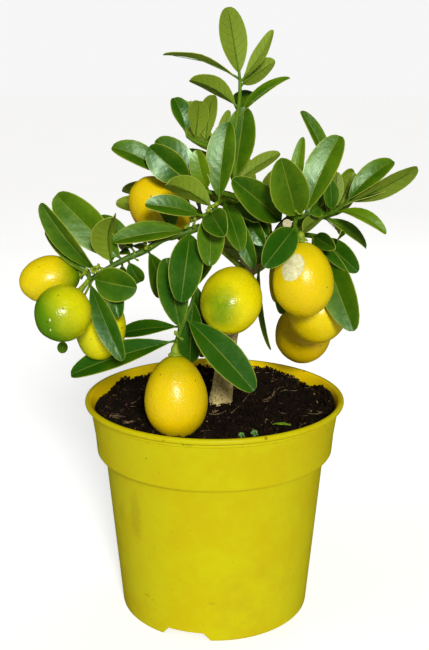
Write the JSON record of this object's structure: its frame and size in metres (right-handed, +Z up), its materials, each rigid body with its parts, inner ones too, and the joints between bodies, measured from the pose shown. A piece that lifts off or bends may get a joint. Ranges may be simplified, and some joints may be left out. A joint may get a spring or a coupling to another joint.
{
  "type": "potted lemon bonsai",
  "caption": "Small lemon tree with glossy leaves and ripening fruit, growing in soil in a tapered plastic pot with a wide rim band.",
  "frame": {"origin": "middle of the pot's foot, on the surface it stands on", "axes": "+Z up along the pot's axis, -Y towards the front of the tree, +X to its right as seen from the front"},
  "size_m": [0.2421, 0.1766, 0.3975],
  "materials": {
    "pot_plastic": "worn satin yellow plastic",
    "potting_soil": "crumbly dark peat, loose and rough",
    "bark": "rough grey tan bark",
    "leaf_green": "waxy leaf, glossy above and matte below",
    "fruit_yellow": "smooth pored lemon peel",
    "fruit_green": "smooth pored unripe peel",
    "weed_green": "soft matte seedling leaf"
  },
  "bodies": {
    "root": {"pot": "pot_plastic", "soil": "potting_soil", "trunk": "bark", "crown": "leaf_green", "left_branch": "leaf_green", "low_front_shoot": "leaf_green", "right_front_shoot": "leaf_green", "right_shoot": "leaf_green", "right_low_shoot": "leaf_green", "back_left_shoot": "leaf_green", "back_shoot": "leaf_green", "back_right_shoot": "leaf_green", "back_low_shoot": "leaf_green", "fruit_front": "fruit_yellow", "fruit_centre": "fruit_yellow", "fruit_scarred": "fruit_yellow", "fruit_right_behind": "fruit_yellow", "fruit_right_low": "fruit_yellow", "fruit_far_left": "fruit_yellow", "fruit_left_low": "fruit_yellow", "fruit_upper_left": "fruit_yellow", "fruit_left_green": "fruit_green", "fruit_young": "fruit_green", "seedling_left": "weed_green", "seedling_right": "weed_green", "grass_blade": "weed_green"}
  },
  "joints": []
}
